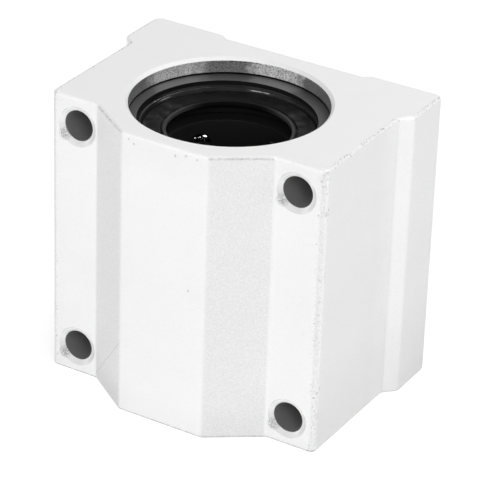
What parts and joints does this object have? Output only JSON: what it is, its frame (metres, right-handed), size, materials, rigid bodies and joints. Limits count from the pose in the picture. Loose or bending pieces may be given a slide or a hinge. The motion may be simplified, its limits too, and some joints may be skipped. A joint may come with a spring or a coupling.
{
  "type": "linear bearing block",
  "caption": "Aluminium block with a sealed linear ball bearing for a round shaft, held by circlips, with a grooved mounting face and tapped corner holes.",
  "frame": {"origin": "centre of the shaft bore at mid length", "axes": "+Z along the shaft bore, +Y out of the mounting face, +X across the block"},
  "size_m": [0.054, 0.04, 0.05],
  "materials": {
    "housing": "fine blasted and clear anodised",
    "sleeve_steel": "ground and hardened",
    "circlip_steel": "phosphated spring steel",
    "ring_steel": "plain spring steel",
    "ball_steel": "polished",
    "cage_resin": "moulded black resin",
    "seal_rubber": "moulded black rubber"
  },
  "bodies": {
    "root": {"housing": "housing", "bearing_sleeve": "sleeve_steel", "ball_cage": "cage_resin", "upper_circlip": "circlip_steel", "upper_seal": "seal_rubber", "upper_cage_ring": "ring_steel", "lower_circlip": "circlip_steel", "lower_seal": "seal_rubber", "lower_cage_ring": "ring_steel", "load_row_1": "ball_steel", "return_row_1": "ball_steel", "turn_balls_1": "ball_steel", "load_row_2": "ball_steel", "return_row_2": "ball_steel", "turn_balls_2": "ball_steel", "load_row_3": "ball_steel", "return_row_3": "ball_steel", "turn_balls_3": "ball_steel", "load_row_4": "ball_steel", "return_row_4": "ball_steel", "turn_balls_4": "ball_steel", "load_row_5": "ball_steel", "return_row_5": "ball_steel", "turn_balls_5": "ball_steel"}
  },
  "joints": []
}
